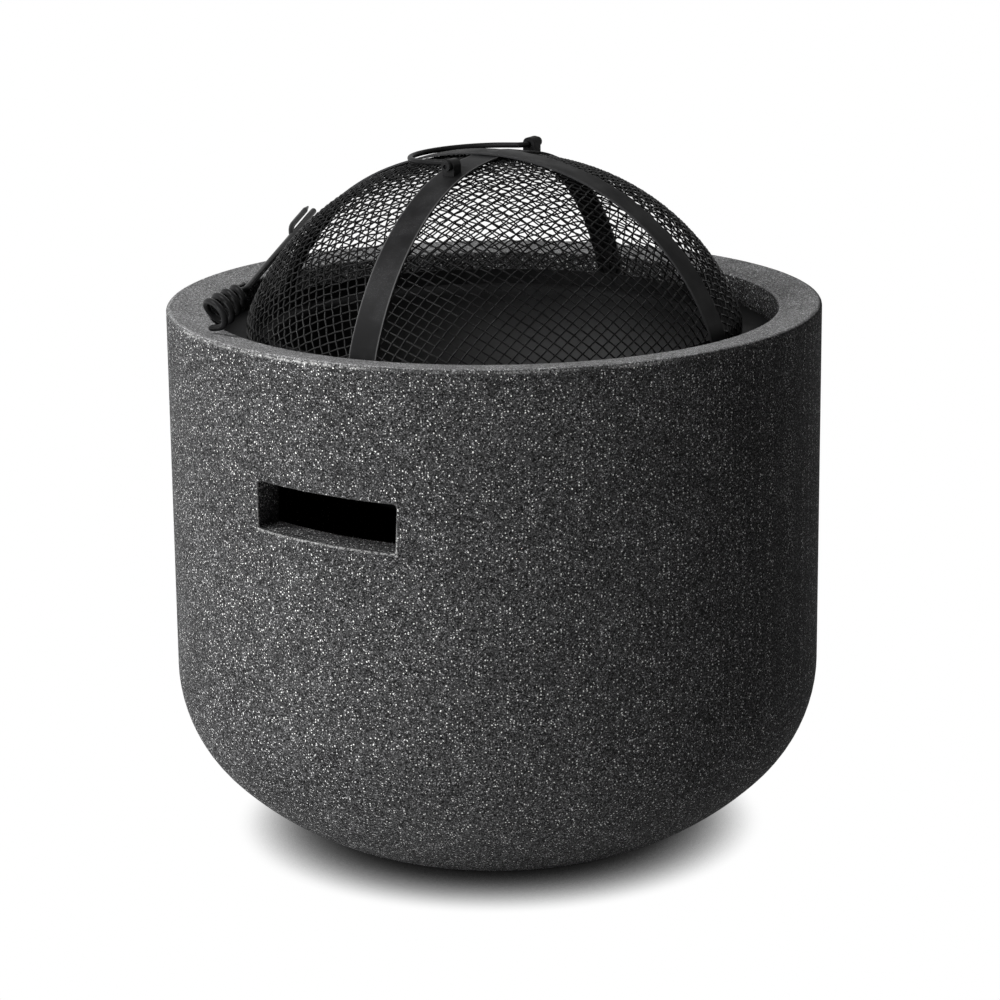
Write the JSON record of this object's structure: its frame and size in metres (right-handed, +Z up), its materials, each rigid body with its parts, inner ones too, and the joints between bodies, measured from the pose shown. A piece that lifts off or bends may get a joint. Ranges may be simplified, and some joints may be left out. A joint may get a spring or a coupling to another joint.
{
  "type": "fire pit",
  "caption": "Round outdoor fire pit: thick cast drum with hand slots, drop-in steel fire bowl with log grate, domed wire spark screen with swinging bail, and a poker with a wound handle.",
  "frame": {"origin": "centre of the drum's flat base, on the ground", "axes": "+Z up along the drum's axis, -Y towards the front hand slot, +X to the right of it"},
  "size_m": [0.5, 0.5, 0.5359],
  "materials": {
    "cast_composite": "dark charcoal cast composite, matt, with fine pale specks",
    "bowl_steel": "black heat-proof paint, matt",
    "grate_steel": "black heat-proof paint, matt",
    "screen_mesh": "black painted woven wire",
    "screen_steel": "black paint, satin",
    "bail_steel": "black paint, satin",
    "poker_steel": "black paint, satin"
  },
  "bodies": {
    "drum": {"drum_shell": "cast_composite"},
    "bowl": {"fire_bowl": "bowl_steel"},
    "grate": {"grate_ring": "grate_steel", "grate_bars": "grate_steel", "grate_feet": "grate_steel"},
    "screen": {"mesh_dome": "screen_mesh", "base_hoop": "screen_steel", "strap_long": "screen_steel", "strap_cross": "screen_steel", "apex_rivet": "screen_steel", "apex_washer": "screen_steel", "strap_foot_rivets": "screen_steel", "bail_lug_front": "screen_steel", "bail_lug_rear": "screen_steel"},
    "bail": {"bail_handle": "bail_steel", "bail_pin_ends": "bail_steel"},
    "poker": {"poker_rod": "poker_steel", "poker_barb": "poker_steel", "poker_handle": "poker_steel"}
  },
  "joints": [
    {"name": "bowl_lift", "type": "slide", "parent": "drum", "child": "bowl", "axis": [0, 0, 1], "range_m": [0, 0.16]},
    {"name": "grate_lift", "type": "slide", "parent": "bowl", "child": "grate", "axis": [0, 0, 1], "range_m": [0, 0.1]},
    {"name": "screen_lift", "type": "slide", "parent": "bowl", "child": "screen", "axis": [0, 0, 1], "range_m": [0, 0.15]},
    {"name": "bail_swing", "type": "hinge", "parent": "screen", "child": "bail", "pos_m": [0, 0, 0.53115], "axis": [0, 1, 0], "range_deg": [0, 187]},
    {"name": "poker_lift", "type": "slide", "parent": "screen", "child": "poker", "axis": [-0.5721, -0.18, 0.8002], "range_m": [0, 0.12]}
  ]
}
